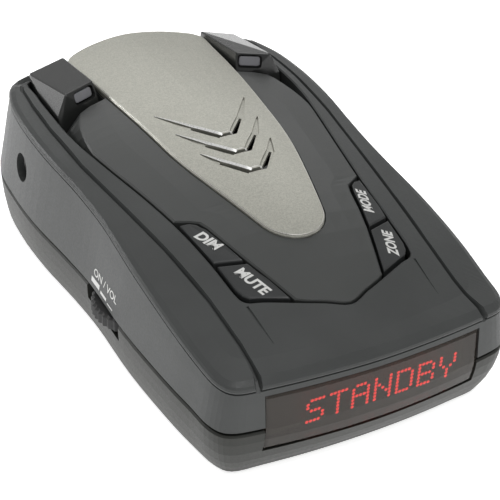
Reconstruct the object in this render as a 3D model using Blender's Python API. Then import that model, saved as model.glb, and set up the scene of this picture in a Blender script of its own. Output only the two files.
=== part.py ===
"""Windscreen radar detector: two-shell case, centre panel, keys, thumbwheel and working internals.

Axes: +X to the driver's right, -Y towards the driver (display end), +Z up, base on z = 0.
"""
import math

import bmesh
import bpy
import numpy as np
from mathutils import Matrix, Vector

MM = 0.001

# Driving dimensions, millimetres
SAMPLES_PER_STATION = 4
PARTING_Z = 11.85
PARTING_GAP = 0.5
WALL = 2.0
BASE_EDGE_Z = 1.3
BASE_THICKNESS = 2.0
EDGE_DROP = 1.3
SEAM_DEPTH = 0.6
SEAM_HEIGHT = 0.4
TOP_THICKNESS = 2.4
REAR_EXTRA_THICKNESS = 2.4
REAR_DROP = 2.6
FIT_GAP = 0.4
PANEL_THICKNESS = 4.6
POCKET_DEPTH = 1.0
COVER_RISE = 0.55
CROWN_POWER = 1.66
PLAN_CENTRE_Y = 55.2

# Plan stations of the right half, front centre to rear centre: (x, y).
# y is measured from the display end and shifted by PLAN_CENTRE_Y when placed.
PARTING = [(0, -2.0), (12, -1.4), (22.8, -0.2), (28.9, 1.2), (31.2, 4.6), (31.9, 11.0), (32.8, 20.2),
           (33.6, 36.0), (33.3, 52.0), (34.1, 64.0), (35.4, 78.0), (35.4, 90.0), (34.3, 101.2),
           (29.9, 108.8), (15.0, 111.7), (0, 112.4)]
EDGE = [(0, -0.9), (12, -0.4), (22.5, 0.6), (27.8, 1.6), (30.0, 4.7), (30.8, 10.5), (31.6, 20.5),
        (31.9, 34.5), (31.6, 50.0), (32.2, 62.0), (33.4, 75.0), (33.5, 88.0), (32.0, 99.0),
        (27.6, 106.6), (14.0, 110.5), (0, 111.4)]
BASE = [(0, 1.5), (11, 1.8), (20.5, 2.6), (26.8, 3.5), (29.2, 6.8), (30.3, 12.6), (31.3, 21.0),
        (32.2, 36.0), (32.0, 52.0), (32.6, 64.0), (33.9, 78.0), (34.1, 90.0), (32.9, 101.2),
        (28.4, 107.4), (14.0, 110.2), (0, 110.8)]
OPENING = [(0, 9.9), (4.4, 11.6), (9.0, 13.5), (14.6, 16.1), (17.6, 17.4), (18.6, 20.0), (19.2, 27.5),
           (20.4, 38.5), (22.3, 50.0), (25.0, 64.0), (26.8, 75.0), (27.2, 86.0), (26.9, 96.0),
           (25.5, 103.9), (13.0, 107.4), (0, 108.9)]
EDGE_RISE = {7: 0.2, 8: 0.5, 9: 0.5, 10: 0.2, 14: 0.3, 15: 0.6}

# Height of the side ridge and of the centre line along y
RIDGE_Y = [-6, 2, 8, 21, 34, 47, 61, 74, 87, 100, 114]
RIDGE_Z = [21.4, 21.8, 22.4, 24.7, 26.5, 27.9, 29.2, 30.4, 31.2, 31.4, 31.2]
CENTRE_Y = [-6, 0, 5, 12, 20, 30, 40, 50, 60, 70, 80, 90, 100, 114]
CENTRE_Z = [20.2, 22.3, 23.9, 26.2, 28.5, 30.9, 32.6, 33.9, 34.9, 35.6, 35.9, 35.9, 35.7, 35.0]
RIDGE_W_Y = [-6, 8, 21, 34, 47, 61, 74, 87, 100, 114]
RIDGE_W = [28.5, 29.5, 30.8, 31.2, 31.4, 31.9, 32.7, 32.5, 31.0, 30.0]

# Silver cover, right half of its outline
COVER = [(0, 26.2), (2.2, 26.6), (3.9, 27.6), (5.2, 28.9), (6.5, 31.2), (8.0, 36.7), (9.6, 43.0),
         (11.5, 51.0), (12.8, 58.5), (13.7, 68.0), (14.9, 80.0), (15.65, 89.0), (16.2, 97.0),
         (16.6, 103.9), (12.4, 107.0), (6.3, 108.9), (0, 109.6)]
CHEVRONS = [((10.5, 71.6), (5.7, 64.1), (1.45, 58.9)),
            ((9.4, 63.6), (5.7, 57.6), (1.5, 52.6)),
            ((8.0, 55.4), (5.7, 51.2), (1.5, 46.2))]
SLOT_WIDTH = 1.15
GROOVE_WIDTH = 2.0
GROOVE_DEPTH = 0.4

# Step line along each side band: (x, y, width, depth)
STEP_LINE = [(24.3, -4.0, 2.8, 3.2), (23.9, 0.0, 2.2, 2.6), (23.3, 2.6, 1.2, 1.2), (22.9, 6.0, 0.9, 0.75),
             (22.8, 10.0, 0.9, 0.7), (23.4, 21.0, 0.9, 0.7), (24.9, 36.0, 0.9, 0.7), (26.9, 52.0, 0.9, 0.7),
             (28.8, 67.0, 0.9, 0.7), (29.6, 82.0, 0.9, 0.7), (29.4, 92.0, 0.9, 0.7), (28.7, 100.0, 0.8, 0.6),
             (27.2, 104.6, 0.5, -0.2)]
# Crease on the deck ahead of each panel corner: (x, y, width, depth)
CREASE = [(17.9, 16.4, 0.5, 0.3), (17.7, 13.0, 0.45, 0.24), (17.5, 10.0, 0.35, 0.14), (17.4, 7.4, 0.2, 0.02)]

# Panel corner where it meets the keys, and the keys themselves (right side)
PANEL_KEY_EDGE = [(9.3, 14.3), (11.2, 20.0), (13.1, 25.9), (14.5, 31.0), (15.75, 36.3), (16.5, 38.4),
                  (18.0, 39.7)]
FRONT_KEY = [(9.95, 14.75), (15.0, 17.0), (16.7, 17.75), (17.6, 18.9), (18.1, 20.6), (18.55, 26.9),
             (13.35, 24.95), (11.7, 20.0)]
REAR_KEY = [(13.7, 26.0), (18.75, 27.95), (19.1, 31.0), (20.0, 39.75), (18.3, 39.25), (17.2, 38.2),
            (16.3, 36.0), (15.0, 30.8)]
FRONT_KEY_BOTTOM = 23.4
REAR_KEY_BOTTOM = 25.6

# Sloping side of the channel beside the panel, the panel's rear arc, and the tongue between the hoods
CHANNEL_START = 68.0
CHANNEL_EDGE = [(25.4, 69.2), (25.3, 72.0), (24.9, 75.0), (24.2, 78.2), (23.5, 80.8), (22.6, 82.6)]
REAR_ARC = [(19.9, 83.8), (16.6, 84.4), (15.5, 84.9)]
TONGUE = [(15.55, 86.0), (15.75, 90.0), (16.15, 97.0), (16.4, 104.3), (16.0, 105.9)]

# Hood beside each alert window, right side: foot around the base, then the four top corners (x, y, z)
HOOD_FOOT = [(15.85, 85.2), (26.6, 83.3), (26.4, 96.0), (24.6, 102.9), (16.8, 105.7)]
HOOD_DEPTH = 4.2
HOOD_SHOULDER = [(26.6, 84.4, 32.2), (26.4, 96.0, 31.9)]
HOOD_TOP = [(17.2, 88.0, 37.4), (24.4, 85.2, 36.9), (25.5, 104.3, 33.3), (17.0, 105.2, 35.2)]
LENS_DROP = 1.95
LENS_SHARE = 0.41

WINDOW_HALF = 22.6
WINDOW_LOW = 6.5
WINDOW_HIGH = 18.95
WINDOW_THICKNESS = 1.5

WHEEL_AXIS = (-25.7, 46.0)
WHEEL_RADIUS = 9.4
WHEEL_LOW = 8.5
WHEEL_HIGH = 11.4
WHEEL_TEETH = 40

JACK_Y = 86.5
JACK_Z = 21.2
JACK_RADIUS = 3.1
SPEAKER_Y = 59.0


def clear_scene():
    for item in list(bpy.data.objects):
        bpy.data.objects.remove(item, do_unlink=True)


def smooth_at(x, xs, ys):
    """Cubic curve through a short table of heights or widths."""
    x = min(max(x, xs[0]), xs[-1])
    k = 0
    while k < len(xs) - 2 and x > xs[k + 1]:
        k += 1
    slopes = np.gradient(np.array(ys, float), np.array(xs, float))
    span = xs[k + 1] - xs[k]
    t = (x - xs[k]) / span
    a = (2 * t ** 3 - 3 * t ** 2 + 1) * ys[k]
    b = (t ** 3 - 2 * t ** 2 + t) * span * slopes[k]
    c = (3 * t ** 2 - 2 * t ** 3) * ys[k + 1]
    d = (t ** 3 - t ** 2) * span * slopes[k + 1]
    return float(a + b + c + d)


def ridge_z(y):
    return smooth_at(y, RIDGE_Y, RIDGE_Z)


def crown(x, y):
    """Height of the crowned top skin over the plan."""
    centre = smooth_at(y, CENTRE_Y, CENTRE_Z)
    half = smooth_at(y, RIDGE_W_Y, RIDGE_W)
    return centre - (centre - ridge_z(y)) * (abs(x) / half) ** CROWN_POWER


def ease(value, start, end):
    share = min(max((value - start) / (end - start), 0.0), 1.0)
    return share * share * (3 - 2 * share)


def rim(x, y):
    """Top of the upper shell: the crown, falling away behind the hoods."""
    return crown(x, y) - REAR_DROP * ease(y, 102.0, 107.5)


def rim_thickness(y):
    return TOP_THICKNESS + REAR_EXTRA_THICKNESS * ease(y, 56.0, 68.0)


def closed_loop(half):
    """Closed spline through a right-half station list and its mirror image."""
    full = list(half) + [(-x, y) for x, y in reversed(half[1:-1])]
    count = len(full)
    points = []
    for k in range(count):
        p0, p1, p2, p3 = (np.array(full[(k + j - 1) % count], float) for j in range(4))
        for step in range(SAMPLES_PER_STATION):
            t = step / SAMPLES_PER_STATION
            points.append(0.5 * (2 * p1 + (p2 - p0) * t + (2 * p0 - 5 * p1 + 4 * p2 - p3) * t ** 2
                                 + (3 * p1 - p0 - 3 * p2 + p3) * t ** 3))
    return np.array(points)


def inset(loop, distance):
    """Loop moved inwards along its own normals."""
    tangent = np.roll(loop, -1, axis=0) - np.roll(loop, 1, axis=0)
    tangent /= np.linalg.norm(tangent, axis=1)[:, None]
    return loop + distance * np.stack([-tangent[:, 1], tangent[:, 0]], axis=1)


def blend(first, second, share):
    return first * (1 - share) + second * share


def ring(loop, height):
    """Ring of points; height is a number, a list, or a function of x and y."""
    if callable(height):
        return [(x, y, height(x, y)) for x, y in loop]
    if np.ndim(height) == 0:
        return [(x, y, height) for x, y in loop]
    return [(p[0], p[1], h) for p, h in zip(loop, height)]


def make_material(name, colour, roughness, metallic=0.0):
    material = bpy.data.materials.new(name)
    material.use_nodes = True
    shader = material.node_tree.nodes["Principled BSDF"]
    shader.inputs["Base Color"].default_value = (*colour, 1.0)
    shader.inputs["Roughness"].default_value = roughness
    shader.inputs["Metallic"].default_value = metallic
    return material


def emit(name, bm, material, origin=(0.0, 0.0, 0.0), sharp=30.0):
    """Turn a millimetre bmesh into a named object with its origin on the given point."""
    bmesh.ops.recalc_face_normals(bm, faces=bm.faces)
    mesh = bpy.data.meshes.new(name)
    bm.transform(Matrix.Scale(MM, 4) @ Matrix.Translation(-Vector(origin)))
    bm.to_mesh(mesh)
    bm.free()
    for polygon in mesh.polygons:
        polygon.use_smooth = True
    mesh.set_sharp_from_angle(angle=math.radians(sharp))
    mesh.materials.append(material)
    item = bpy.data.objects.new(name, mesh)
    item.location = (Vector(origin) - Vector((0.0, PLAN_CENTRE_Y, 0.0))) * MM
    bpy.context.collection.objects.link(item)
    return item


def skin_rings(rings, close):
    """Quads between successive rings; the ends are joined to each other or capped."""
    bm = bmesh.new()
    rows = [[bm.verts.new(p) for p in points] for points in rings]
    count = len(rows[0])
    pairs = list(zip(rows, rows[1:]))
    if close:
        pairs.append((rows[-1], rows[0]))
    for low, high in pairs:
        for k in range(count):
            n = (k + 1) % count
            bm.faces.new((low[k], low[n], high[n], high[k]))
    if not close:
        bm.faces.new(rows[0])
        bm.faces.new(rows[-1])
    return bm


def sheet_solid(half, top, bottom, columns, round_edge, foot=None):
    """Solid over a symmetric outline whose points run front to rear, one row across per point.

    foot gives a wider half width for the underside, so that the side walls lean outwards.
    """
    bm = bmesh.new()
    upper = []
    lower = []
    shares = [-1 + 2 * k / columns for k in range(columns + 1)]
    for index, (x, y) in enumerate(half):
        if index in (0, len(half) - 1):
            upper.append([bm.verts.new((0, y, top(0, y) - round_edge))])
            lower.append([bm.verts.new((0, y, bottom(0, y)))])
            continue
        inner = x - round_edge
        row = [(-x, top(x, y) - round_edge)] + [(s * inner, top(s * inner, y)) for s in shares]
        row.append((x, top(x, y) - round_edge))
        upper.append([bm.verts.new((px, y, pz)) for px, pz in row])
        spread = foot(x, y) / x if foot else 1.0
        lower.append([bm.verts.new((px * spread, y, bottom(px * spread, y))) for px, _ in row])
    for rows in (upper, lower):
        for near, far in zip(rows, rows[1:]):
            if len(near) == 1 or len(far) == 1:
                tip, row = (near[0], far) if len(near) == 1 else (far[0], near)
                for a, b in zip(row, row[1:]):
                    bm.faces.new((tip, a, b))
                continue
            for k in range(len(near) - 1):
                bm.faces.new((near[k], near[k + 1], far[k + 1], far[k]))
    for side in (0, -1):
        for k in range(len(upper) - 1):
            corners = [upper[k][side], upper[k + 1][side], lower[k + 1][side], lower[k][side]]
            bm.faces.new(corners)
    return bm


def prism(points, low, high):
    """Upright prism over a plan polygon; low and high are numbers or functions of x and y."""
    def level(value, x, y):
        return value(x, y) if callable(value) else value
    bm = bmesh.new()
    base = [bm.verts.new((x, y, level(low, x, y))) for x, y in points]
    head = [bm.verts.new((x, y, level(high, x, y))) for x, y in points]
    bm.faces.new(base)
    bm.faces.new(head)
    for k in range(len(points)):
        n = (k + 1) % len(points)
        bm.faces.new((base[k], base[n], head[n], head[k]))
    return bm


def box(x0, x1, y0, y1, z0, z1, radius=0.0, segments=2):
    bm = prism([(x0, y0), (x1, y0), (x1, y1), (x0, y1)], z0, z1)
    if radius:
        bmesh.ops.bevel(bm, geom=list(bm.edges), offset=radius, segments=segments, affect='EDGES', profile=0.5)
    return bm


def lathe(profile, steps, centre, axis='Z'):
    """Solid of revolution of a closed profile of (radius, height) points."""
    bm = bmesh.new()
    rings = []
    for radius, height in profile:
        if radius == 0:
            rings.append([bm.verts.new((0, 0, height))])
            continue
        angles = [2 * math.pi * k / steps for k in range(steps)]
        rings.append([bm.verts.new((radius * math.cos(a), radius * math.sin(a), height)) for a in angles])
    closed = profile[0][0] != 0
    pairs = list(zip(rings, rings[1:]))
    if closed:
        pairs.append((rings[-1], rings[0]))
    for low, high in pairs:
        for k in range(steps):
            n = (k + 1) % steps
            if len(low) == 1:
                bm.faces.new((low[0], high[n], high[k]))
            elif len(high) == 1:
                bm.faces.new((low[k], low[n], high[0]))
            else:
                bm.faces.new((low[k], low[n], high[n], high[k]))
    turn = {'Z': Matrix.Identity(4), 'X': Matrix.Rotation(math.pi / 2, 4, 'Y'),
            'Y': Matrix.Rotation(-math.pi / 2, 4, 'X')}[axis]
    bm.transform(Matrix.Translation(Vector(centre)) @ turn)
    return bm


def rod(radius, length, centre, axis='Z', steps=24):
    """Plain cylinder starting at centre and running along the axis."""
    return lathe([(0, 0), (radius, 0), (radius, length), (0, length)], steps, centre, axis)


def cut(target, name, bm):
    """Subtract a hidden cutter from the target."""
    cutter = emit("cutter_" + name, bm, target.data.materials[0])
    cutter.hide_render = True
    cutter.display_type = 'WIRE'
    modifier = target.modifiers.new(name, 'BOOLEAN')
    modifier.operation = 'DIFFERENCE'
    modifier.solver = 'EXACT'
    modifier.object = cutter


def ribbon_cutter(path, top_extra):
    """Long V-section cutter following the crown; path holds (x, y, width, depth)."""
    bm = bmesh.new()
    rows = []
    for index, (x, y, width, depth) in enumerate(path):
        before = np.array(path[max(index - 1, 0)][:2])
        after = np.array(path[min(index + 1, len(path) - 1)][:2])
        along = (after - before) / np.linalg.norm(after - before)
        side = np.array([along[1], -along[0]])
        z = crown(x, y)
        corners = []
        for offset, height in ((-1.0, top_extra), (-0.5, 0.0), (-0.2, -depth), (0.2, -depth), (0.5, 0.0),
                               (1.0, top_extra)):
            place = np.array([x, y]) + side * width * offset
            corners.append(bm.verts.new((place[0], place[1], z + height)))
        rows.append(corners)
    for near, far in zip(rows, rows[1:]):
        for k in range(6):
            n = (k + 1) % 6
            bm.faces.new((near[k], near[n], far[n], far[k]))
    bm.faces.new(rows[0])
    bm.faces.new(rows[-1])
    return bm


def mirror_points(points):
    return [(-x, y) for x, y in reversed(points)]


def edge_heights(loop):
    """Height of the band's lower edge for each point of the edge loop."""
    rises = [EDGE_RISE.get(k, 0.0) for k in range(len(EDGE))]
    full = rises + list(reversed(rises[1:-1]))
    heights = []
    for index, (_, y) in enumerate(loop):
        position = index / SAMPLES_PER_STATION
        k = int(position)
        share = position - k
        rise = full[k % len(full)] * (1 - share) + full[(k + 1) % len(full)] * share
        heights.append(ridge_z(y) - EDGE_DROP + rise)
    return np.array(heights)


def lower_level(parting, base, z):
    share = ((PARTING_Z - z) / (PARTING_Z - BASE_EDGE_Z)) ** 2.1
    return blend(parting, base, share)


def build_lower_case(material):
    parting = closed_loop(PARTING)
    base = closed_loop(BASE)
    top = PARTING_Z - PARTING_GAP / 2
    levels = [top - 0.35, 9.4, 6.8, 4.2, 2.4, BASE_EDGE_Z]
    rings = [ring(inset(base, 1.4), 0.0), ring(inset(base, 0.5), 0.35)]
    rings += [ring(lower_level(parting, base, z), z) for z in reversed(levels)]
    rings.append(ring(inset(parting, 0.35), top))
    rings.append(ring(inset(parting, WALL), top))
    rings.append(ring(inset(lower_level(parting, base, 6.0), WALL), 6.0))
    rings.append(ring(inset(base, WALL + 0.8), BASE_THICKNESS))
    case = emit("lower_case", skin_rings(rings, close=False), material)
    cut(case, "lower_window", box(-WINDOW_HALF, WINDOW_HALF, -5, 4.4, WINDOW_LOW, 14))
    cut(case, "wheel_slot", box(-40, -28, 38.2, 53.9, 8.1, 14))
    cut(case, "bracket_slot", box(-13, 13, 104, 116, 3.2, 8.6))
    cut(case, "label_pocket", box(-20.2, 20.2, 47.8, 72.2, -1, 0.55))
    for number, (x, y) in enumerate(SCREWS, 1):
        head = [(0, -1), (2.6, -1), (2.6, 1.05), (1.6, 1.05), (1.6, 3), (0, 3)]
        cut(case, "screw_hole_%d" % number, lathe(head, 20, (x, y, 0)))
    return case


def build_upper_case(material):
    parting = closed_loop(PARTING)
    edge = closed_loop(EDGE)
    opening = closed_loop(OPENING)
    lower_edge = edge_heights(edge)
    wall_top = inset(edge, 0.1)
    shoulder = inset(edge, 1.4)
    low = PARTING_Z + PARTING_GAP / 2
    rings = [ring(inset(parting, 0.35), low), ring(parting, low + 0.35)]
    for share in (0.35, 0.7):
        rings.append(ring(blend(parting, wall_top, share), low + share * (lower_edge - low)))
    rings.append(ring(wall_top, lower_edge - SEAM_HEIGHT))
    rings.append(ring(inset(edge, SEAM_DEPTH), lower_edge - SEAM_HEIGHT / 2))
    rings.append(ring(inset(edge, 0.05), lower_edge))
    rings.append(ring(edge, lower_edge + 0.25))
    rings.append(ring(inset(edge, 0.15), lower_edge + 0.7))
    rings.append(ring(inset(edge, 0.5), lower_edge + 1.05))
    rings.append(ring(shoulder, lambda x, y: rim(x, y) + 0.1))
    for share in (0.3, 0.65):
        rings.append(ring(blend(shoulder, opening, share), rim))
    rings.append(ring(inset(opening, -0.3), rim))
    rings.append(ring(opening, lambda x, y: rim(x, y) - 0.3))
    rings.append(ring(opening, lambda x, y: rim(x, y) - rim_thickness(y)))
    rings.append(ring(blend(shoulder, opening, 0.5), lambda x, y: rim(x, y) - rim_thickness(y) - 0.3))
    rings.append(ring(inset(edge, 2.9), lambda x, y: rim(x, y) - rim_thickness(y) - 0.5))
    rings.append(ring(inset(parting, WALL + 0.2), low))
    case = emit("upper_case", skin_rings(rings, close=True), material)
    cut(case, "upper_window", box(-WINDOW_HALF, WINDOW_HALF, -5, 4.4, 10, WINDOW_HIGH))
    cut(case, "jack_hole", rod(JACK_RADIUS, 8, (-38, JACK_Y, JACK_Z), 'X'))
    for word, path in (("step", STEP_LINE), ("crease", CREASE)):
        cut(case, word + "_right", ribbon_cutter(path, 2.0))
        cut(case, word + "_left", ribbon_cutter([(-x, y, w, d) for x, y, w, d in path], 2.0))
    cut(case, "lens_hole", box(-12.3, 12.3, 105, 116, 15.7, 25.3))
    return case


def opening_half():
    loop = closed_loop(OPENING)
    return inset(loop, FIT_GAP)[:(len(OPENING) - 1) * SAMPLES_PER_STATION + 1]


def panel_outline():
    """Right half of the panel: V front, key edge, channel edge, rear arc, tongue between the hoods."""
    outer = opening_half()
    points = [(0.0, float(outer[0][1]))]
    points += [(x, y) for x, y in outer if 0.5 < x < 8.6 and y < 14]
    points += PANEL_KEY_EDGE
    points += [(x, y) for x, y in outer if 40.2 < y < CHANNEL_START]
    points += CHANNEL_EDGE + REAR_ARC + TONGUE
    points += [(max(x, 0.0), y) for x, y in outer if y > TONGUE[-1][1] + 0.4 and x < TONGUE[-1][0] - 0.4]
    points.sort(key=lambda p: p[1])
    points[-1] = (0.0, float(points[-1][1]))
    return points


def build_centre_panel(material):
    def underside(x, y):
        return crown(x, y) - PANEL_THICKNESS
    side = opening_half()[4 * SAMPLES_PER_STATION:-2 * SAMPLES_PER_STATION]

    def foot(x, y):
        if not CHANNEL_START < y < CHANNEL_EDGE[-1][1] + 0.1:
            return x
        return float(np.interp(y, side[:, 1], side[:, 0]))
    sheet = sheet_solid(panel_outline(), crown, underside, 8, 0.3, foot)
    panel = emit("centre_panel", sheet, material)
    half = [(x + 0.35, y) for x, y in COVER[1:-3]]
    pocket = [(0.0, 25.85)] + half + [(16.75, 116.0)]
    outline = pocket + [(-x, y) for x, y in reversed(pocket[1:])]
    cut(panel, "cover_pocket", dense_prism(outline, -POCKET_DEPTH, 6.0))
    cut(panel, "speaker_port", rod(11.0, 20, (0, SPEAKER_Y, 24), 'Z', 28))
    return panel


def dense_prism(outline, low_offset, high):
    """Symmetric pocket cutter with rows across so that its floor follows the crown."""
    half = [(x, y) for x, y in outline if x >= 0]
    half.sort(key=lambda p: p[1])
    rows = []
    for (x0, y0), (x1, y1) in zip(half, half[1:]):
        steps = max(1, int(abs(y1 - y0) / 5))
        rows += [(x0 + (x1 - x0) * k / steps, y0 + (y1 - y0) * k / steps) for k in range(steps)]
    rows.append(half[-1])
    if rows[-1][0] > 0:
        rows.append((0.0, rows[-1][1] + 1.0))
    return sheet_solid(rows, lambda x, y: 44.0, lambda x, y: crown(x, y) + low_offset, 6, 0.0)


def band(points, widths):
    """Plan polygon of given widths about an open polyline."""
    left = []
    right = []
    for index, (point, width) in enumerate(zip(points, widths)):
        before = np.array(points[max(index - 1, 0)])
        after = np.array(points[min(index + 1, len(points) - 1)])
        along = (after - before) / np.linalg.norm(after - before)
        side = np.array([-along[1], along[0]]) * width / 2
        left.append(tuple(np.array(point) + side))
        right.append(tuple(np.array(point) - side))
    return right + left[::-1]


def cover_rows():
    loop = closed_loop(COVER)
    half = loop[:(len(COVER) - 1) * SAMPLES_PER_STATION + 1]
    rows = [(max(float(x), 0.0), float(y)) for x, y in half]
    rows.sort(key=lambda p: p[1])
    keep = [rows[0]]
    for row in rows[1:]:
        if row[1] - keep[-1][1] > 0.12:
            keep.append(row)
    keep[0] = (0.0, keep[0][1])
    keep[-1] = (0.0, keep[-1][1])
    return keep


def build_speaker_cover(material):
    def skin(x, y):
        return crown(x, y) + COVER_RISE

    def underside(x, y):
        return crown(x, y) - POCKET_DEPTH + 0.3
    cover = emit("speaker_cover", sheet_solid(cover_rows(), skin, underside, 8, 0.35), material)
    for number, (tip, start, bend) in enumerate(CHEVRONS, 1):
        mid = ((start[0] + bend[0]) / 2, (start[1] + bend[1]) / 2)
        slot = [(-start[0], start[1]), (-bend[0], bend[1]), bend, start]
        cut(cover, "slot_%d" % number, prism(band(slot, [0.5, SLOT_WIDTH, SLOT_WIDTH, 0.5]), 24.0, 42.0))
        for side in (1, -1):
            arm = [(side * 0.0, bend[1]), (side * bend[0], bend[1]), (side * mid[0], mid[1]),
                   (side * start[0], start[1]), (side * tip[0], tip[1])]
            shape = band(arm[1:], [GROOVE_WIDTH, GROOVE_WIDTH, GROOVE_WIDTH * 0.8, 0.25])
            floor = prism(shape, lambda x, y: skin(x, y) - GROOVE_DEPTH, 42.0)
            cut(cover, "groove_%d_%s" % (number, "r" if side > 0 else "l"), floor)
    return cover


def hood_corners(side):
    points = [Vector((side * x, y, crown(x, y) - HOOD_DEPTH)) for x, y in HOOD_FOOT]
    points += [Vector((side * x, y, z)) for x, y, z in HOOD_SHOULDER + HOOD_TOP]
    return points


def face_frame(side):
    """Matrix of the hood's front face: width along X, up along Y, outwards along Z."""
    points = hood_corners(side)
    inner, outer = points[-4], points[-3]
    low = points[0].lerp(points[1], LENS_SHARE)
    high = inner.lerp(outer, LENS_SHARE)
    wide = (outer - inner).normalized() * side
    up = (high - low).normalized()
    out = wide.cross(up).normalized()
    up = out.cross(wide)
    frame = Matrix((wide, up, out)).transposed().to_4x4()
    frame.translation = high - up * LENS_DROP
    return frame


def rounded_block(half_x, half_y, low, high, radius):
    """Block with rounded upright corners."""
    points = []
    for sign_x, sign_y, start in ((1, 1, 0), (-1, 1, 90), (-1, -1, 180), (1, -1, 270)):
        for step in range(5):
            angle = math.radians(start + 22.5 * step)
            x = sign_x * (half_x - radius) + radius * math.cos(angle)
            y = sign_y * (half_y - radius) + radius * math.sin(angle)
            points.append((x, y))
    return prism(points, low, high)


def build_hood(side, material, lens_material):
    word = "right" if side > 0 else "left"
    bm = bmesh.new()
    for point in hood_corners(side):
        bm.verts.new(point)
    bmesh.ops.convex_hull(bm, input=list(bm.verts))
    loose = [v for v in bm.verts if not v.link_faces]
    bmesh.ops.delete(bm, geom=loose, context='VERTS')
    bmesh.ops.dissolve_limit(bm, angle_limit=math.radians(4), verts=list(bm.verts), edges=list(bm.edges))
    bmesh.ops.bevel(bm, geom=list(bm.edges), offset=0.22, segments=2, affect='EDGES', profile=0.5)
    hood = emit("alert_hood_" + word, bm, material, sharp=25)
    frame = face_frame(side)
    pocket = rounded_block(2.75, 1.45, -1.6, 3.0, 0.8)
    pocket.transform(frame)
    cut(hood, "window_pocket_" + word, pocket)
    glass = rounded_block(2.4, 1.1, -1.2, -0.2, 0.6)
    rim_edges = [e for e in glass.edges if all(v.co.z > -0.3 for v in e.verts)]
    bmesh.ops.bevel(glass, geom=rim_edges, offset=0.25, segments=2, affect='EDGES', profile=0.5)
    glass.transform(frame)
    emit("alert_window_" + word, glass, lens_material)


def build_key(name, corners, bottom, side, material):
    points = corners if side > 0 else mirror_points(corners)
    bm = prism(points, bottom, lambda x, y: crown(x, y) + 0.05)
    top_edges = [e for e in bm.edges if all(v.co.z > bottom + 0.5 for v in e.verts)]
    bmesh.ops.bevel(bm, geom=top_edges, offset=0.3, segments=2, affect='EDGES', profile=0.5)
    x = side * sum(p[0] for p in corners) / len(corners)
    y = sum(p[1] for p in corners) / len(corners)
    emit(name, bm, material, origin=(x, y, bottom))
    return x, y


def build_switch(word, x, y, key_bottom, body_material, plunger_material):
    body = emit("switch_body_" + word, box(x - 3, x + 3, y - 3, y + 3, 20.9, 22.8, 0.2, 1), body_material)
    cut(body, "switch_bore_" + word, rod(2.05, 4, (x, y, 20.2), 'Z', 20))
    length = key_bottom - 0.3 - 21.6
    plunger = rod(1.75, length, (x, y, 21.6), 'Z', 20)
    emit("switch_plunger_" + word, plunger, plunger_material, origin=(x, y, 21.6))


def front_y(x, z):
    """Depth of the front face for the display window."""
    high = -2.0 + 1.75 * (x / 22.8) ** 2
    if z >= PARTING_Z:
        top = -0.9 + 1.5 * (x / 22.5) ** 2
        return high + (top - high) * (z - PARTING_Z) / 8.7
    low = 1.5 + 1.6 * (x / 20.5) ** 2
    return high + (low - high) * ((PARTING_Z - z) / (PARTING_Z - BASE_EDGE_Z)) ** 2.1


def build_display_window(material):
    half = WINDOW_HALF - 0.25
    low, high = WINDOW_LOW + 0.25, WINDOW_HIGH - 0.25
    columns = [-half, -half + 0.5] + [-18 + 4 * k for k in range(10)] + [half - 0.5, half]
    levels = [low, low + 0.5, 9.5, PARTING_Z, 15.5, high - 0.5, high]
    bm = bmesh.new()
    sheets = []
    for depth in (0.15, 0.15 + WINDOW_THICKNESS):
        sheet = []
        for z in levels:
            row = []
            for x in columns:
                edge = 0.25 if depth < 1 and (abs(x) == half or z in (low, high)) else 0.0
                row.append(bm.verts.new((x, front_y(x, z) + depth + edge, z)))
            sheet.append(row)
        sheets.append(sheet)
    for sheet in sheets:
        for low_row, high_row in zip(sheet, sheet[1:]):
            for k in range(len(columns) - 1):
                bm.faces.new((low_row[k], low_row[k + 1], high_row[k + 1], high_row[k]))
    near, far = sheets
    for k in range(len(columns) - 1):
        bm.faces.new((near[0][k], near[0][k + 1], far[0][k + 1], far[0][k]))
        bm.faces.new((near[-1][k], near[-1][k + 1], far[-1][k + 1], far[-1][k]))
    for k in range(len(levels) - 1):
        bm.faces.new((near[k][0], near[k + 1][0], far[k + 1][0], far[k][0]))
        bm.faces.new((near[k][-1], near[k + 1][-1], far[k + 1][-1], far[k][-1]))
    emit("display_window", bm, material)


def build_wheel(material, shaft_material):
    x, y = WHEEL_AXIS
    steps = WHEEL_TEETH * 2
    bm = bmesh.new()
    rings = []
    for radius_extra, z in ((-0.5, WHEEL_LOW), (0, WHEEL_LOW + 0.4), (0, WHEEL_HIGH - 0.4), (-0.5, WHEEL_HIGH)):
        points = []
        for k in range(steps):
            radius = WHEEL_RADIUS + radius_extra - (0.35 if k % 2 else 0.0)
            angle = 2 * math.pi * k / steps
            points.append(bm.verts.new((x + radius * math.cos(angle), y + radius * math.sin(angle), z)))
        rings.append(points)
    for low, high in zip(rings, rings[1:]):
        for k in range(steps):
            n = (k + 1) % steps
            bm.faces.new((low[k], low[n], high[n], high[k]))
    bm.faces.new(rings[0])
    bm.faces.new(rings[-1])
    wheel = emit("volume_wheel", bm, material, origin=(x, y, WHEEL_LOW))
    cut(wheel, "wheel_bore", rod(2.7, 8, (x, y, 6), 'Z', 20))
    shaft = rod(2.4, 2.9, (x, y, 8.4), 'Z', 20)
    emit("volume_shaft", shaft, shaft_material, origin=(x, y, 8.4))


def build_jack(material, pin_material):
    body = emit("power_jack_body", box(-29.9, -22.6, JACK_Y - 4.2, JACK_Y + 4.2, 17.0, 25.2, 0.4), material)
    cut(body, "jack_bore", rod(2.9, 9.0, (-33.0, JACK_Y, JACK_Z), 'X', 24))
    emit("power_jack_pin", rod(1.0, 5.4, (-29.7, JACK_Y, JACK_Z), 'X', 16), pin_material)


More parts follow.
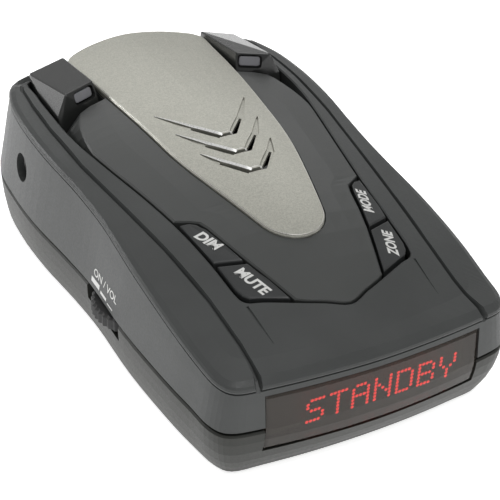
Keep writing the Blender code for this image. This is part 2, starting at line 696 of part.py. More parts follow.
def build_speaker(metal, magnet_material, cone_material):
    centre = (0, SPEAKER_Y, 22.4)
    frame = [(0, 0), (14, 0), (14, 4.4), (11.8, 4.4), (11.8, 1.2), (0, 1.2)]
    emit("speaker_frame", lathe(frame, 32, centre), metal)
    magnet = [(0, -5.2), (7.5, -5.2), (7.5, -0.3), (0, -0.3)]
    emit("speaker_magnet", lathe(magnet, 28, centre), magnet_material)
    cone = [(0, 2.1), (4, 2.1), (7, 2.6), (11.3, 3.5), (11.3, 3.9), (7, 3.1), (4, 2.9), (0, 3.4)]
    bm = lathe(cone, 28, centre)
    emit("speaker_cone", bm, cone_material, origin=(0, SPEAKER_Y, 25))


def frustum(y0, half0, low0, high0, y1, half1, low1, high1):
    bm = bmesh.new()
    rows = []
    for y, half, low, high in ((y0, half0, low0, high0), (y1, half1, low1, high1)):
        rows.append([bm.verts.new(p) for p in ((-half, y, low), (half, y, low), (half, y, high),
                                               (-half, y, high))])
    bm.faces.new(rows[0])
    bm.faces.new(rows[1])
    for k in range(4):
        n = (k + 1) % 4
        bm.faces.new((rows[0][k], rows[0][n], rows[1][n], rows[1][k]))
    return bm


def build_receiver(cast, tin, lens, sensor):
    horn = emit("horn_antenna", frustum(80, 9, 12.5, 21.5, 105, 19, 10.5, 25.0), cast)
    cut(horn, "horn_mouth", frustum(83, 6, 14.5, 19.5, 106, 17.6, 12.0, 23.4))
    emit("shield_can", box(-14, 14, 52, 78.5, 6.9, 12.2, 0.5), tin)
    emit("road_lens", box(-12, 12, 108.6, 111.0, 16, 25, 0.5), lens)
    emit("laser_sensor", box(-3, 3, 106, 108, 18, 23, 0.3, 1), sensor)


def build_boards(board, chip, tin, body_black, cable):
    emit("main_board", box(-25.2, 25.2, 14, 98, 5.0, 6.6), board)
    emit("display_board", box(-23.6, 23.6, 5.5, 6.7, 4.6, 19.0), board)
    emit("display_matrix", box(-21.5, 21.5, 3.2, 5.3, 7.4, 18.4, 0.3, 1), body_black)
    emit("key_board", box(-21.5, 21.5, 12.5, 43, 19.4, 20.7), board)
    emit("ribbon_cable", box(-7, 7, 7.0, 20, 6.8, 7.1), cable)
    emit("controller_chip", box(3, 15, 26, 38, 6.8, 8.4, 0.2, 1), chip)
    capacitor = [(0, 0), (3.6, 0), (4, 0.5), (4, 8.6), (3.6, 9.1), (0, 9.1)]
    emit("supply_capacitor", lathe(capacitor, 24, (18.5, 22, 6.9)), tin)
    emit("volume_control_body", box(-30.1, -21.3, 41.6, 50.4, 6.9, 8.1, 0.2, 1), body_black)


SCREWS = [(22.5, 14.0), (-22.5, 14.0), (25.5, 92.0), (-25.5, 92.0)]


def build_screws(steel):
    for number, (x, y) in enumerate(SCREWS, 1):
        profile = [(0, 0.2), (2.2, 0.2), (2.25, 0.8), (1.25, 0.8), (1.25, 4.4), (0, 4.4)]
        screw = emit("case_screw_%d" % number, lathe(profile, 20, (x, y, 0)), steel)
        for axis, half in (("a", (1.4, 0.3)), ("b", (0.3, 1.4))):
            drive = box(x - half[0], x + half[0], y - half[1], y + half[1], -0.5, 0.6)
            cut(screw, "drive_%d%s" % (number, axis), drive)


def build():
    clear_scene()
    case_grey = make_material("case_grey", (0.085, 0.087, 0.082), 0.5)
    deck_grey = make_material("deck_grey", (0.07, 0.072, 0.072), 0.5)
    panel_black = make_material("panel_black", (0.04, 0.042, 0.042), 0.25)
    silver = make_material("silver_paint", (0.42, 0.42, 0.38), 0.35, 0.6)
    key_black = make_material("key_black", (0.05, 0.052, 0.053), 0.45)
    smoked = make_material("smoked_lens", (0.08, 0.05, 0.045), 0.1)
    glass = make_material("alert_lens", (0.3, 0.3, 0.32), 0.1)
    board = make_material("board_green", (0.03, 0.13, 0.05), 0.5)
    black = make_material("moulded_black", (0.02, 0.02, 0.02), 0.5)
    tin = make_material("tinned_steel", (0.6, 0.6, 0.58), 0.35, 1.0)
    cast = make_material("cast_zinc", (0.5, 0.5, 0.5), 0.5, 1.0)
    brass = make_material("brass", (0.7, 0.5, 0.2), 0.3, 1.0)
    rubber = make_material("wheel_rubber", (0.025, 0.025, 0.025), 0.7)
    paper = make_material("cone_paper", (0.1, 0.1, 0.1), 0.8)
    cable = make_material("ribbon_grey", (0.4, 0.4, 0.42), 0.5)
    label = make_material("label_film", (0.6, 0.6, 0.6), 0.4)
    red_epoxy = make_material("led_epoxy", (0.5, 0.03, 0.03), 0.2)

    build_lower_case(case_grey)
    build_upper_case(deck_grey)
    build_centre_panel(panel_black)
    build_speaker_cover(silver)
    for side in (1, -1):
        build_hood(side, panel_black, glass)
        word = "right" if side > 0 else "left"
        led = [(0, 0), (1.5, 0), (1.5, 2.0), (1.1, 2.8), (0, 3.1)]
        emit("alert_led_" + word, lathe(led, 16, (side * 20.5, 88, 25.2)), red_epoxy)
        for place, corners, bottom in (("front", FRONT_KEY, FRONT_KEY_BOTTOM), ("rear", REAR_KEY, REAR_KEY_BOTTOM)):
            tag = word + "_" + place
            x, y = build_key("key_" + tag, corners, bottom, side, key_black)
            build_switch(tag, x, y, bottom, black, tin)
    build_display_window(smoked)
    build_wheel(rubber, brass)
    build_jack(black, brass)
    build_speaker(tin, black, paper)
    build_receiver(cast, tin, smoked, black)
    build_boards(board, black, tin, black, cable)
    build_screws(tin)
    emit("rating_label", box(-19.8, 19.8, 48.2, 71.8, 0.08, 0.35), label)


build()
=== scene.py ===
"""Looks of the radar detector: materials, legends, display dots, studio and camera."""
import math

import bmesh
import bpy
from mathutils import Matrix, Vector
from mathutils.bvhtree import BVHTree


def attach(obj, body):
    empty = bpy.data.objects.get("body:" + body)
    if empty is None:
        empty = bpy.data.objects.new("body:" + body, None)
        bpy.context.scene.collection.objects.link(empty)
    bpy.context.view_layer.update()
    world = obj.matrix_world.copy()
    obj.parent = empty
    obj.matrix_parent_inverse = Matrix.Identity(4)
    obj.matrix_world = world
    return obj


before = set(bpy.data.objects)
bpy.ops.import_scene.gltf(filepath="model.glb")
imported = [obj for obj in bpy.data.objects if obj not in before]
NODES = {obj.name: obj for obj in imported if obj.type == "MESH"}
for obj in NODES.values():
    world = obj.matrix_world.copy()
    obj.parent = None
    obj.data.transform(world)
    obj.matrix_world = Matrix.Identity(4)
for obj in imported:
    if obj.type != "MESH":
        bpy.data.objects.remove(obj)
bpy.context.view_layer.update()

MM = 0.001
SHIFT_Y = -55.2          # plan offset between the display end's y and the frame
SKY = 45                 # height clear of the whole case, where rays onto it start
DOWN = Vector((0, 0, -1))


# ---------------------------------------------------------------- helpers

def place(x, y, z=0.0):
    """Millimetres measured from the display end to metres in the frame."""
    return Vector((x * MM, (y + SHIFT_Y) * MM, z * MM))


def tree_of(name):
    """Search tree of one CAD node's faces, for rays cast onto its skin."""
    mesh = NODES[name].data
    points = [vertex.co.copy() for vertex in mesh.vertices]
    return BVHTree.FromPolygons(points, [list(face.vertices) for face in mesh.polygons])


def finish_mesh(name, bm, material, body="case"):
    """Make a smooth-shaded piece of a bmesh and let it ride on a body."""
    bmesh.ops.recalc_face_normals(bm, faces=bm.faces)
    mesh = bpy.data.meshes.new(name)
    bm.to_mesh(mesh)
    bm.free()
    for polygon in mesh.polygons:
        polygon.use_smooth = True
    mesh.materials.append(material)
    item = bpy.data.objects.new(name, mesh)
    bpy.context.collection.objects.link(item)
    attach(item, body)
    return item


def bridge(bm, near, far):
    """Faces between two closed rings of vertices."""
    count = len(near)
    for k in range(count):
        n = (k + 1) % count
        bm.faces.new((near[k], near[n], far[n], far[k]))


# ---------------------------------------------------------------- materials

CLOUD_SCALE = 90.0           # slow change of tone over a moulding
GRAIN_DEPTH = 0.00003        # metres
LACQUER_ROUGHNESS = 0.08

FLAKE_SCALE = 5200.0
FLAKE_DARK, FLAKE_LIGHT = (0.36, 0.357, 0.315), (0.47, 0.466, 0.41)
FLAKE_METAL = 0.6

MASK_DARK, MASK_LIGHT = (0.012, 0.10, 0.035, 1), (0.016, 0.13, 0.045, 1)
TRACK_GREEN = (0.05, 0.22, 0.07, 1)

STREAK_STRETCH = (1.0, 14.0, 1.0)


def graph(name):
    """New material with its node tree and shader."""
    material = bpy.data.materials.new(name)
    material.use_nodes = True
    tree = material.node_tree
    return material, tree, tree.nodes["Principled BSDF"]


def object_coords(tree):
    return tree.nodes.new("ShaderNodeTexCoord").outputs["Object"]


def noise(tree, coords, scale, detail=3.0):
    node = tree.nodes.new("ShaderNodeTexNoise")
    node.inputs["Scale"].default_value = scale
    node.inputs["Detail"].default_value = detail
    tree.links.new(coords, node.inputs["Vector"])
    return node.outputs["Fac"]


def ranged(tree, value, low, high, from_low=0.3, from_high=0.7):
    """Value mapped to low..high; noise seldom leaves 0.3..0.7, so that is the usual input."""
    node = tree.nodes.new("ShaderNodeMapRange")
    node.inputs["From Min"].default_value = from_low
    node.inputs["From Max"].default_value = from_high
    node.inputs["To Min"].default_value = low
    node.inputs["To Max"].default_value = high
    tree.links.new(value, node.inputs["Value"])
    return node.outputs["Result"]


def two_tone(tree, value, dark, light):
    node = tree.nodes.new("ShaderNodeMix")
    node.data_type = 'RGBA'
    node.inputs["A"].default_value = (*dark, 1)
    node.inputs["B"].default_value = (*light, 1)
    tree.links.new(value, node.inputs["Factor"])
    return node.outputs["Result"]


def bumped(tree, shader, height, strength, distance):
    node = tree.nodes.new("ShaderNodeBump")
    node.inputs["Strength"].default_value = strength
    node.inputs["Distance"].default_value = distance
    tree.links.new(height, node.inputs["Height"])
    tree.links.new(node.outputs["Normal"], shader.inputs["Normal"])


def scaled(colour, factor):
    return tuple(min(1.0, c * factor) for c in colour)


def surface(name, colour, roughness, grain=2600.0, bump=0.25, spread=0.08, rough_spread=0.06,
            metallic=0.0, coat=0.0, specular=0.5):
    """Moulded or coated surface: cloudy tone, uneven gloss and fine grain from noise."""
    material, tree, shader = graph(name)
    coords = object_coords(tree)
    cloud = noise(tree, coords, CLOUD_SCALE)
    fine = noise(tree, coords, grain, 2.0)
    tone = two_tone(tree, ranged(tree, cloud, 0, 1),
                    scaled(colour, 1 - spread), scaled(colour, 1 + spread))
    tree.links.new(tone, shader.inputs["Base Color"])
    low, high = roughness - rough_spread, roughness + rough_spread
    tree.links.new(ranged(tree, fine, low, high), shader.inputs["Roughness"])
    shader.inputs["Metallic"].default_value = metallic
    shader.inputs["Coat Weight"].default_value = coat
    shader.inputs["Coat Roughness"].default_value = LACQUER_ROUGHNESS
    shader.inputs["Specular IOR Level"].default_value = specular
    bumped(tree, shader, fine, bump, GRAIN_DEPTH)
    return material


def flaked_silver(name):
    """Champagne-silver paint with metal flake under a soft lacquer."""
    material, tree, shader = graph(name)
    coords = object_coords(tree)
    flake = tree.nodes.new("ShaderNodeTexVoronoi")
    flake.inputs["Scale"].default_value = FLAKE_SCALE
    tree.links.new(coords, flake.inputs["Vector"])
    separate = tree.nodes.new("ShaderNodeSeparateColor")
    tree.links.new(flake.outputs["Color"], separate.inputs["Color"])
    tone = two_tone(tree, separate.outputs["Red"], FLAKE_DARK, FLAKE_LIGHT)
    tree.links.new(tone, shader.inputs["Base Color"])
    rough = ranged(tree, separate.outputs["Green"], 0.36, 0.48, 0, 1)
    tree.links.new(rough, shader.inputs["Roughness"])
    shader.inputs["Metallic"].default_value = FLAKE_METAL
    shader.inputs["Coat Weight"].default_value = 0.08
    shader.inputs["Coat Roughness"].default_value = 0.2
    bumped(tree, shader, noise(tree, coords, 1800.0, 2.0), 0.08, 0.00002)
    return material


def smoked_lens(name, tint, body, clear):
    """Smoked clear plastic: part see-through, part tinted body, with a moulded gloss."""
    material, tree, shader = graph(name)
    cloud = noise(tree, object_coords(tree), 60.0)
    tone = two_tone(tree, ranged(tree, cloud, 0, 1), scaled(body, 0.92), scaled(body, 1.08))
    tree.links.new(tone, shader.inputs["Base Color"])
    tree.links.new(ranged(tree, cloud, 0.12, 0.2), shader.inputs["Roughness"])
    bumped(tree, shader, cloud, 0.03, 0.0001)
    see = tree.nodes.new("ShaderNodeBsdfTransparent")
    see.inputs["Color"].default_value = (*tint, 1)
    mix = tree.nodes.new("ShaderNodeMixShader")
    mix.inputs["Fac"].default_value = clear
    tree.links.new(shader.outputs["BSDF"], mix.inputs[1])
    tree.links.new(see.outputs["BSDF"], mix.inputs[2])
    tree.links.new(mix.outputs["Shader"], tree.nodes["Material Output"].inputs["Surface"])
    return material


def glowing(name, colour, strength):
    """Lit plastic with a slightly uneven glow."""
    material, tree, shader = graph(name)
    cloud = noise(tree, object_coords(tree), 1500.0)
    tone = two_tone(tree, ranged(tree, cloud, 0, 1), scaled(colour, 0.85), colour)
    tree.links.new(tone, shader.inputs["Base Color"])
    tree.links.new(tone, shader.inputs["Emission Color"])
    shader.inputs["Emission Strength"].default_value = strength
    shader.inputs["Roughness"].default_value = 0.4
    return material


def circuit_board(name):
    """Solder mask over faint copper tracks."""
    material, tree, shader = graph(name)
    coords = object_coords(tree)
    bricks = tree.nodes.new("ShaderNodeTexBrick")
    bricks.inputs["Scale"].default_value = 260.0
    bricks.inputs["Color1"].default_value = MASK_DARK
    bricks.inputs["Color2"].default_value = MASK_LIGHT
    bricks.inputs["Mortar"].default_value = TRACK_GREEN
    tree.links.new(coords, bricks.inputs["Vector"])
    tree.links.new(bricks.outputs["Color"], shader.inputs["Base Color"])
    shader.inputs["Roughness"].default_value = 0.38
    bumped(tree, shader, noise(tree, coords, 900.0), 0.1, GRAIN_DEPTH)
    return material


def brushed(name, colour, roughness):
    """Drawn or plated metal with fine directional streaks."""
    material, tree, shader = graph(name)
    mapping = tree.nodes.new("ShaderNodeMapping")
    mapping.inputs["Scale"].default_value = STREAK_STRETCH
    tree.links.new(object_coords(tree), mapping.inputs["Vector"])
    streak = noise(tree, mapping.outputs["Vector"], 500.0)
    tone = two_tone(tree, ranged(tree, streak, 0, 1), scaled(colour, 0.8), colour)
    tree.links.new(tone, shader.inputs["Base Color"])
    rough = ranged(tree, streak, roughness - 0.08, roughness + 0.08)
    tree.links.new(rough, shader.inputs["Roughness"])
    shader.inputs["Metallic"].default_value = 1.0
    bumped(tree, shader, streak, 0.1, 0.00002)
    return material


# Case, panel, keys and hoods.
CASE = surface("case_shell", (0.032, 0.033, 0.029), 0.42, grain=3000, bump=0.2, specular=0.28)
DECK = surface("upper_shell", (0.056, 0.059, 0.058), 0.42, grain=2400, bump=0.35, specular=0.35)
PANEL = surface("panel_satin", (0.05, 0.053, 0.051), 0.42, bump=0.02, spread=0.04,
                rough_spread=0.03, coat=0.05)
KEY = surface("key_satin", (0.034, 0.036, 0.036), 0.4, bump=0.2, specular=0.4)
HOOD = surface("hood_satin", (0.024, 0.025, 0.024), 0.2, bump=0.015, spread=0.04,
               rough_spread=0.03, coat=0.1)
SILVER = flaked_silver("silver_flake")
WHEEL = surface("wheel_knurl", (0.03, 0.03, 0.03), 0.6, grain=1800, bump=0.5)

# Windows and lenses.
WINDOW = smoked_lens("smoked_window", (0.62, 0.55, 0.5), (0.066, 0.058, 0.05), 0.42)
ROAD = smoked_lens("road_lens_red_black", (0.3, 0.05, 0.05), (0.02, 0.008, 0.009), 0.2)
ALERT = smoked_lens("alert_lens_clear", (0.8, 0.8, 0.85), (0.3, 0.3, 0.32), 0.2)

# Inside and underneath.
BLACK = surface("moulded_black_grain", (0.02, 0.02, 0.021), 0.5, grain=1500)
BOARD = circuit_board("board_mask")
TIN = brushed("tin_plate", (0.62, 0.62, 0.6), 0.35)
ZINC = surface("cast_zinc_grain", (0.45, 0.45, 0.45), 0.5, grain=900, bump=0.4, metallic=1.0)
BRASS = brushed("turned_brass", (0.72, 0.52, 0.22), 0.3)
CONE = surface("cone_felt", (0.035, 0.035, 0.035), 0.85, grain=1200, bump=0.6)
RIBBON = surface("ribbon_pvc", (0.3, 0.3, 0.32), 0.45, grain=800)
LABEL = surface("label_blank", (0.42, 0.42, 0.41), 0.35, grain=700, bump=0.05, spread=0.03)
EPOXY = surface("led_epoxy_red", (0.35, 0.01, 0.012), 0.15, grain=600, bump=0.05, coat=0.5)

# Print, painted highlights and display dots.
PRINT = surface("legend_white", (0.72, 0.72, 0.70), 0.5, grain=1500, bump=0.1, spread=0.04)
# Painted highlight: bright bead colour for the fine light line along the silver cover's edge.
RIM_HIGHLIGHT = brushed("rim_painted_highlight", (0.62, 0.61, 0.57), 0.34)
# Painted highlight: bright colour for the lit flanks of the louvres, left arms and centres only.
BEVEL_HIGHLIGHT = surface("bevel_painted_highlight", (0.84, 0.84, 0.82), 0.3, grain=3000, bump=0.1, spread=0.04,
                metallic=0.25)
LED_ON = glowing("dot_lit", (1.0, 0.05, 0.055), 12.0)
LED_OFF = surface("dot_dark", (0.06, 0.035, 0.033), 0.4, grain=900)

FINISH = {
    "lower_case": CASE, "upper_case": DECK, "centre_panel": PANEL, "speaker_cover": SILVER,
    "display_window": WINDOW, "road_lens": ROAD, "volume_wheel": WHEEL, "volume_shaft": BRASS,
    "power_jack_body": BLACK, "power_jack_pin": BRASS, "speaker_frame": TIN,
    "speaker_magnet": BLACK, "speaker_cone": CONE, "horn_antenna": ZINC, "shield_can": TIN,
    "laser_sensor": BLACK, "main_board": BOARD, "display_board": BOARD, "key_board": BOARD,
    "display_matrix": BLACK, "ribbon_cable": RIBBON, "controller_chip": BLACK,
    "supply_capacitor": TIN, "volume_control_body": BLACK, "rating_label": LABEL,
}
FAMILY_FINISH = (("key_", KEY), ("alert_hood", HOOD), ("alert_window", ALERT),
                 ("alert_led", EPOXY), ("switch_body", BLACK))


def paint_nodes():
    """Finish of every CAD node: its own, its family's, or tin plate for small hardware."""
    for name, node in NODES.items():
        material = FINISH.get(name)
        if material is None:
            material = next((look for start, look in FAMILY_FINISH if name.startswith(start)), TIN)
        for slot in node.material_slots:
            slot.material = material


# ---------------------------------------------------------------- legends

RAY_BACK = 0.02              # metres a ray starts in front of the print
PRINT_THICKNESS = 0.00004    # metres
LETTER_HEIGHT = 2.15
LETTER_BOLD, LETTER_SHEAR = 0.038, 0.22
LEGEND_Z = 40                # legends are laid down onto the keys from here
# key, word, centre x and y, lean of the line from across the case, length of the word
KEY_WORDS = (("left_rear", "DIM", -17.1, 33.3, 0.35, 5.9),
             ("left_front", "MUTE", -14.4, 20.9, 0.34, 7.7),
             ("right_rear", "MODE", 17.0, 33.1, 0.3, 7.4),
             ("right_front", "ZONE", 15.3, 21.0, 0.34, 7.0))

SIDE_X = -40                 # side print is pressed on from here
# y and z of the centre, length, height
LEVEL_BARS = ((50.0, 14.2, 3.9, 1.15), (45.9, 13.75, 3.0, 0.65), (42.5, 13.4, 2.6, 0.3))
BAR_STEPS = 8


def text_shape(word, length, height, bold, shear):
    """Flat mesh of a word, centred on the origin, fitted to a length and height in mm."""
    curve = bpy.data.curves.new(word, 'FONT')
    curve.body = word
    curve.size = 1.0
    curve.offset = bold
    curve.shear = shear
    curve.resolution_u = 4
    item = bpy.data.objects.new(word, curve)
    bpy.context.collection.objects.link(item)
    bpy.context.view_layer.update()
    final = item.evaluated_get(bpy.context.evaluated_depsgraph_get())
    mesh = bpy.data.meshes.new_from_object(final)
    bpy.data.objects.remove(item, do_unlink=True)
    xs = [v.co.x for v in mesh.vertices]
    ys = [v.co.y for v in mesh.vertices]
    wide, tall = max(xs) - min(xs), max(ys) - min(ys)
    for vertex in mesh.vertices:
        vertex.co.x = (vertex.co.x - (max(xs) + min(xs)) / 2) * length * MM / wide
        vertex.co.y = (vertex.co.y - (max(ys) + min(ys)) / 2) * height * MM / tall
    return mesh


def lay_flat(name, mesh, centre, along, up, node, ray, body):
    """Lay a flat print on a node: along and up span it, ray is the way it is pressed on.

    Where a ray misses the node, the print carries on level with its centre."""
    bm = bmesh.new()
    bm.from_mesh(mesh)
    tree = tree_of(node)
    middle = tree.ray_cast(centre - ray * RAY_BACK, ray)[0]
    for vertex in bm.verts:
        point = centre + along * vertex.co.x + up * vertex.co.y
        hit = tree.ray_cast(point - ray * RAY_BACK, ray)[0]
        if hit is None:
            hit = point + ray * (middle - point).dot(ray)
        vertex.co = hit - ray * PRINT_THICKNESS
    finish_mesh(name, bm, PRINT, body)


def key_legends():
    """One word on each key, reading outwards along the key."""
    for key, word, x, y, lean, length in KEY_WORDS:
        side = -1 if x < 0 else 1
        along = Vector((math.sin(lean), side * math.cos(lean), 0))
        up = Vector((-side * math.cos(lean), math.sin(lean), 0))
        mesh = text_shape(word, length, LETTER_HEIGHT, LETTER_BOLD, LETTER_SHEAR)
        lay_flat("legend_" + key, mesh, place(x, y, LEGEND_Z), along, up, "key_" + key, DOWN,
                 "key_" + key)


def bar_shape(length, height):
    """Flat bar, split along its length so that it can follow a curved wall."""
    mesh = bpy.data.meshes.new("bar")
    bm = bmesh.new()
    rows = []
    for v in (-0.5, 0.5):
        rows.append([bm.verts.new((length * (k / BAR_STEPS - 0.5), height * v, 0))
                     for k in range(BAR_STEPS + 1)])
    for k in range(BAR_STEPS):
        bm.faces.new((rows[0][k], rows[0][k + 1], rows[1][k + 1], rows[1][k]))
    bm.to_mesh(mesh)
    bm.free()
    return mesh


def side_print():
    """Words and level bars over the thumbwheel, on the left wall."""
    inward = Vector((1, 0, 0))
    along = Vector((0, -1, 0))
    up = Vector((0, 0, 1))
    mesh = text_shape("ON / VOL", 11.2, 1.75, 0.012, 0.1)
    lay_flat("side_print", mesh, place(SIDE_X, 45.5, 16.35), along, up, "upper_case", inward,
             "case")
    for number, (y, z, length, height) in enumerate(LEVEL_BARS, 1):
        mesh = bar_shape(length * MM, height * MM)
        lay_flat("level_bar_%d" % number, mesh, place(SIDE_X, y, z), along, up, "upper_case",
                 inward, "case")


# ---------------------------------------------------------------- trim and painted highlights

# Right half of the silver cover's outline, from its tip to the road end.
COVER = [(0, 26.2), (2.2, 26.6), (3.9, 27.6), (5.2, 28.9), (6.5, 31.2), (8.0, 36.7), (9.6, 43.0),
         (11.5, 51.0), (12.8, 58.5), (13.7, 68.0), (14.9, 80.0), (15.65, 89.0), (16.2, 97.0),
         (16.6, 103.9), (12.4, 107.0), (6.3, 108.9), (0, 109.6)]
RIM_RADIUS = 0.11
RIM_SAMPLES = 5              # bead stations per outline point
RIM_SIDES = 8
RIM_INSET = 0.22             # from the outline onto the cover's rounded edge
RIM_SINK = 0.2               # share of the radius sunk into the cover
RIM_LOWEST = 0.025           # metres; a lower hit has missed the cover

# Each louvre's tip, the start of its opening and its bend, on the right half.
LOUVRES = [((10.5, 71.6), (5.7, 64.1), (1.45, 58.9)),
           ((9.4, 63.6), (5.7, 57.6), (1.5, 52.6)),
           ((8.0, 55.4), (5.7, 51.2), (1.5, 46.2))]
BEVEL_OUTER = 1.0
BEVEL_INNER = 0.5
BEVEL_DEPTH = 0.33
BEVEL_LIFT = 0.01            # the outer edge stands just clear of the skin
BEVEL_WIDTHS = [0.12, 0.95, 1.0, 1.0]
BEVEL_STEPS = 4              # stations per arm
PROBE_CLEARANCE = 0.35       # the skin height is read this far beyond the bevel

JACK_SURFACE = (-33.2, 86.5, 21.2)
JACK_PROFILE = [(1.75, 1.9), (1.85, 0.55), (2.1, 0.2), (2.45, 0.1), (2.75, 0.3), (2.9, 0.7),
                (2.9, 1.9)]      # radius and depth, from the bore to the wall
JACK_SEGMENTS = 32


def spline_loop(half):
    """Closed Catmull-Rom spline through the right half of an outline and its mirror image."""
    full = list(half) + [(-x, y) for x, y in reversed(half[1:-1])]
    count = len(full)
    points = []
    for k in range(count):
        p0, p1, p2, p3 = (Vector(full[(k + j - 1) % count]) for j in range(4))
        for step in range(RIM_SAMPLES):
            t = step / RIM_SAMPLES
            points.append(0.5 * (2 * p1 + (p2 - p0) * t + (2 * p0 - 5 * p1 + 4 * p2 - p3) * t ** 2
                                 + (3 * p1 - p0 - 3 * p2 + p3) * t ** 3))
    return points


def tube(name, path, radius, material):
    """Closed round bead along a loop of points."""
    bm = bmesh.new()
    rings = []
    count = len(path)
    for k in range(count):
        along = (path[(k + 1) % count] - path[k - 1]).normalized()
        side = along.cross(Vector((0, 0, 1))).normalized()
        up = side.cross(along)
        ring = []
        for j in range(RIM_SIDES):
            angle = 2 * math.pi * j / RIM_SIDES
            offset = (side * math.cos(angle) + up * math.sin(angle)) * radius
            ring.append(bm.verts.new(path[k] + offset))
        rings.append(ring)
    for k in range(count):
        bridge(bm, rings[k], rings[(k + 1) % count])
    finish_mesh(name, bm, material)


def cover_rim_highlight():
    """Bright bead on the rounded edge of the silver cover: a painted highlight where the light
    catches that edge.
    """
    tree = tree_of("speaker_cover")
    loop = spline_loop(COVER)
    path = []
    for k, point in enumerate(loop):
        along = (loop[(k + 1) % len(loop)] - loop[k - 1]).normalized()
        inner = point + Vector((-along.y, along.x)) * RIM_INSET
        hit = tree.ray_cast(place(inner.x, inner.y, SKY), DOWN)[0]
        if hit is None or hit.z < RIM_LOWEST:
            continue
        path.append(hit - Vector((0, 0, RIM_RADIUS * MM * RIM_SINK)))
    tube("cover_rim_highlight", path, RIM_RADIUS * MM, RIM_HIGHLIGHT)


def bevel_stations(tip, start, bend):
    """Points and width shares along a louvre's left arm and across its middle."""
    corners = [Vector((-tip[0], tip[1])), Vector((-start[0], start[1])),
               Vector((-bend[0], bend[1])), Vector((bend[0], bend[1]))]
    stations = []
    for index in range(len(corners) - 1):
        for step in range(BEVEL_STEPS):
            share = step / BEVEL_STEPS
            width = BEVEL_WIDTHS[index] * (1 - share) + BEVEL_WIDTHS[index + 1] * share
            stations.append((corners[index].lerp(corners[index + 1], share), width))
    stations.append((corners[-1], BEVEL_WIDTHS[-1]))
    return stations


def louvre_painted_highlight(number, tip, start, bend):
    """Painted highlight on the far sloping face of one louvre, left arm and centre only: a bright
    strip where the light catches that flank.
    """
    tree = tree_of("speaker_cover")
    stations = bevel_stations(tip, start, bend)
    bm = bmesh.new()
    rows = []
    for k, (point, width) in enumerate(stations):
        before = stations[max(k - 1, 0)][0]
        after = stations[min(k + 1, len(stations) - 1)][0]
        along = (after - before).normalized()
        inside = Vector((-along.y, along.x))
        probe = point + inside * (BEVEL_OUTER * width + PROBE_CLEARANCE)
        skin = tree.ray_cast(place(probe.x, probe.y, SKY), DOWN)[0].z
        row = []
        for offset, depth in ((BEVEL_OUTER, -BEVEL_LIFT), (BEVEL_INNER, BEVEL_DEPTH)):
            spot = point + inside * offset * width
            height = Vector((0, 0, skin - depth * width * MM))
            row.append(bm.verts.new(place(spot.x, spot.y) + height))
        rows.append(row)
    for near, far in zip(rows, rows[1:]):
        bm.faces.new((near[0], near[1], far[1], far[0]))
    finish_mesh("louvre_bevel_%d" % number, bm, BEVEL_HIGHLIGHT)


def jack_ring():
    """Rounded bushing inside the power jack hole."""
    bm = bmesh.new()
    x, y, z = JACK_SURFACE
    rings = []
    for radius, depth in JACK_PROFILE:
        centre = place(x + depth, y, z)
        ring = []
        for k in range(JACK_SEGMENTS):
            angle = 2 * math.pi * k / JACK_SEGMENTS
            spoke = Vector((0, math.cos(angle), math.sin(angle)))
            ring.append(bm.verts.new(centre + spoke * radius * MM))
        rings.append(ring)
    for near, far in zip(rings, rings[1:]):
        bridge(bm, near, far)
    finish_mesh("jack_ring", bm, HOOD)


# ---------------------------------------------------------------- display dots

GLYPHS = {
    "S": ("01111", "10000", "10000", "01110", "00001", "00001", "11110"),
    "T": ("11111", "00100", "00100", "00100", "00100", "00100", "00100"),
    "A": ("01110", "10001", "10001", "11111", "10001", "10001", "10001"),
    "N": ("10001", "10001", "11001", "10101", "10011", "10001", "10001"),
    "D": ("11110", "10001", "10001", "10001", "10001", "10001", "11110"),
    "B": ("11110", "10001", "10001", "11110", "10001", "10001", "11110"),
    "Y": ("10001", "10001", "10001", "01010", "00100", "00100", "00100"),
}
WORD = "STANDBY"
DOT_PITCH = 0.79
DOT_RADIUS = 0.36
DOT_SIDES = 10
DOT_BULGE = 0.00012          # metres
DOT_TOP_Z = 13.05
DOT_Y = 1.98
FIRST_LETTER_X = -11.2
LETTER_PITCH = 4.78
MIDDLE_COLUMN = 2


def add_dot(bm, x, z):
    """Shallow round dome facing the driver."""
    centre = place(x, DOT_Y, z)
    peak = bm.verts.new(centre + Vector((0, -DOT_BULGE, 0)))
    ring = []
    for k in range(DOT_SIDES):
        angle = 2 * math.pi * k / DOT_SIDES
        offset = Vector((math.cos(angle), 0, math.sin(angle))) * DOT_RADIUS * MM
        ring.append(bm.verts.new(centre + offset))
    for k in range(DOT_SIDES):
        bm.faces.new((peak, ring[k], ring[(k + 1) % DOT_SIDES]))


def display_dots():
    """Every dot of the matrix, lit or dark, spelling the word."""
    lit = bmesh.new()
    dark = bmesh.new()
    for index, letter in enumerate(WORD):
        for row, line in enumerate(GLYPHS[letter]):
            for column, state in enumerate(line):
                x = FIRST_LETTER_X + LETTER_PITCH * index + (column - MIDDLE_COLUMN) * DOT_PITCH
                add_dot(lit if state == "1" else dark, x, DOT_TOP_Z - row * DOT_PITCH)
    finish_mesh("display_dots_lit", lit, LED_ON)
    finish_mesh("display_dots_dark", dark, LED_OFF)


# ---------------------------------------------------------------- studio

FLOOR_REACH = 3.0
FLOOR_DROP = 0.0003          # metres below the case, so that the two don't share a face
FLOOR_DARK, FLOOR_LIGHT = (0.93, 0.93, 0.93), (0.95, 0.95, 0.95)
FLOOR_GLOW = 0.8
WORLD_STRENGTH = 0.42
LIGHT_TARGET = (0, 0, 0.02)
# name, position, width and height, watts
LIGHTS = (("back_left_strip", (-0.54, 0.72, 0.42), (0.16, 0.12), 1.8),
          ("back_top", (0.35, 0.8, 0.7), (0.9, 0.5), 1.8),
          ("top_fill", (0.1, -0.35, 1.1), (0.6, 0.6), 4.0))

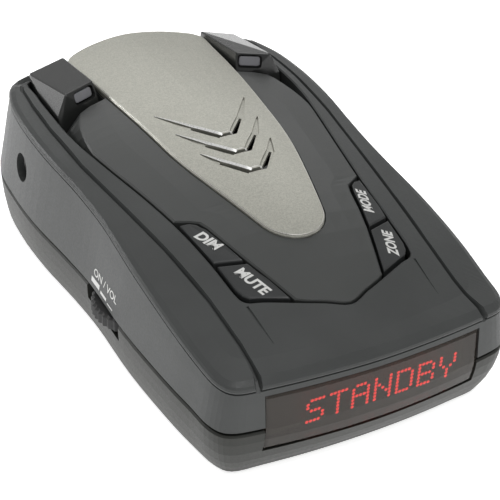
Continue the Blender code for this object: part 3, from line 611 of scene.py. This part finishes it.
CAMERA_SPOT = (-113.9135, -151.6766, 168.0005)
CAMERA_RIGHT = Vector((0.87996939, -0.47349961, 0.038105))
CAMERA_UP = Vector((0.23635838, 0.50601226, 0.82950968))
CAMERA_BACK = Vector((-0.41205411, -0.72093669, 0.5571909))
SENSOR_WIDTH = 36.0
FOCAL_RATIO = 2.7            # focal length over sensor width
CLIP_START = 0.01


def area_light(name, position, size, power):
    data = bpy.data.lights.new(name, 'AREA')
    data.shape = 'RECTANGLE'
    data.size, data.size_y = size
    data.energy = power
    item = bpy.data.objects.new(name, data)
    item.location = position
    aim = Vector(LIGHT_TARGET) - Vector(position)
    item.rotation_euler = aim.to_track_quat('-Z', 'Y').to_euler()
    bpy.context.collection.objects.link(item)


def build_floor():
    """Pale floor that glows a little, so that it stays even out to the horizon."""
    mesh = bpy.data.meshes.new("floor")
    bm = bmesh.new()
    bmesh.ops.create_grid(bm, x_segments=2, y_segments=2, size=FLOOR_REACH)
    bm.to_mesh(mesh)
    bm.free()
    material, tree, shader = graph("floor_white")
    cloud = noise(tree, object_coords(tree), 3.0)
    tone = two_tone(tree, ranged(tree, cloud, 0, 1), FLOOR_DARK, FLOOR_LIGHT)
    tree.links.new(tone, shader.inputs["Base Color"])
    shader.inputs["Roughness"].default_value = 0.9
    shader.inputs["Specular IOR Level"].default_value = 0.0
    tree.links.new(tone, shader.inputs["Emission Color"])
    shader.inputs["Emission Strength"].default_value = FLOOR_GLOW
    mesh.materials.append(material)
    floor = bpy.data.objects.new("floor", mesh)
    floor.location = (0, 0, -FLOOR_DROP)
    bpy.context.collection.objects.link(floor)


def build_lights():
    world = bpy.data.worlds.new("studio")
    world.use_nodes = True
    sky = world.node_tree.nodes["Background"]
    sky.inputs["Color"].default_value = (1, 1, 1, 1)
    sky.inputs["Strength"].default_value = WORLD_STRENGTH
    bpy.context.scene.world = world
    for light in LIGHTS:
        area_light(*light)


def build_camera():
    """Camera at the driver's left, looking down on the display end."""
    data = bpy.data.cameras.new("camera")
    data.sensor_width = SENSOR_WIDTH
    data.lens = FOCAL_RATIO * SENSOR_WIDTH
    data.clip_start = CLIP_START
    item = bpy.data.objects.new("camera", data)
    rotation = Matrix((CAMERA_RIGHT, CAMERA_UP, CAMERA_BACK)).transposed()
    item.matrix_world = Matrix.Translation(place(*CAMERA_SPOT)) @ rotation.to_4x4()
    bpy.context.collection.objects.link(item)
    bpy.context.scene.camera = item


paint_nodes()
key_legends()
side_print()
cover_rim_highlight()
for count, louvre in enumerate(LOUVRES, 1):
    louvre_painted_highlight(count, *louvre)
jack_ring()
display_dots()
build_floor()
build_lights()
build_camera()
bpy.context.scene.view_settings.view_transform = 'Standard'
